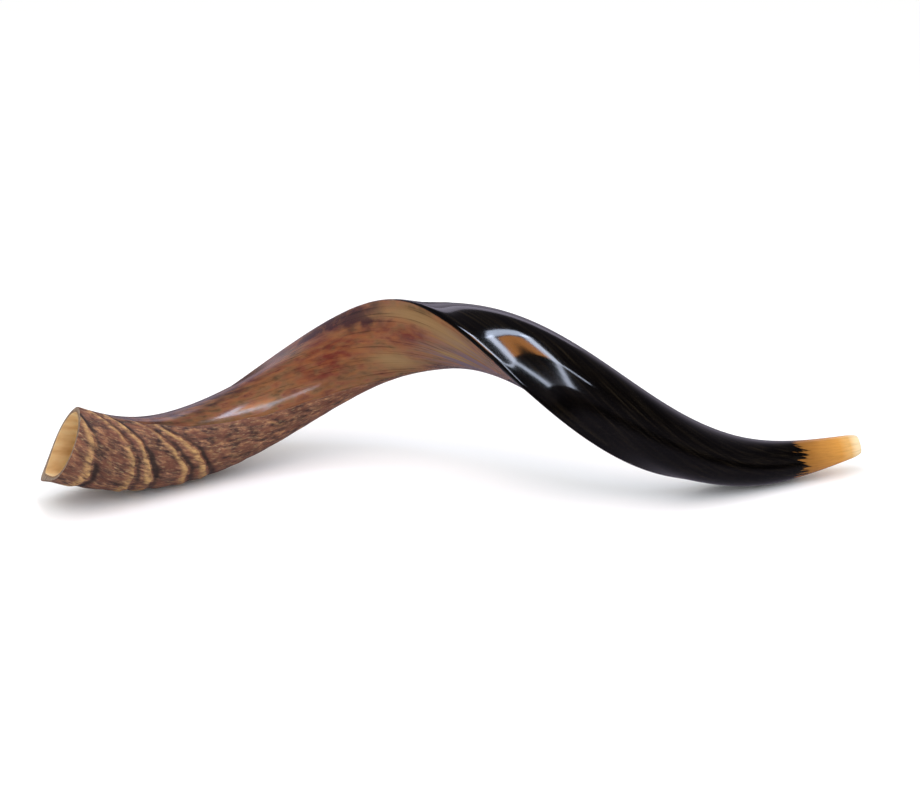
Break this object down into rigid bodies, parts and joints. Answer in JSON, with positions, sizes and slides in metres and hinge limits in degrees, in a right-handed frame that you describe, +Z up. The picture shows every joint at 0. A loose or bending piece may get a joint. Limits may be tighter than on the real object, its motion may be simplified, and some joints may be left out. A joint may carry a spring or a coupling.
{
  "type": "shofar",
  "caption": "Spiral antelope horn made into a natural trumpet: sawn open bell, keeled and twisted hollow body, half natural and half polished, with a drilled pale tip and mouthpiece cup.",
  "frame": {"origin": "centre of the bounding box's base, on the table that the horn lies on", "axes": "+X along the horn's length, from the bell to the mouthpiece; +Z up; the side seen in front faces -Y"},
  "size_m": [0.5528, 0.1332, 0.1219],
  "materials": {
    "collar_horn": "dry natural horn bark with growth ridges, sawn at the rim",
    "bark_horn": "natural horn bark, fibrous, satin",
    "amber_horn": "polished horn, mottled amber and red-brown",
    "black_horn": "polished black horn, high gloss",
    "pale_inner_horn": "bare inner horn, cream, dull",
    "pale_tip_horn": "polished pale translucent horn"
  },
  "bodies": {
    "root": {"rough_bell_collar": "collar_horn", "rough_underside": "bark_horn", "polished_amber_side": "amber_horn", "black_back": "black_horn", "black_front": "black_horn", "pale_inner_layer": "pale_inner_horn", "drilled_tip": "pale_tip_horn"}
  },
  "joints": []
}
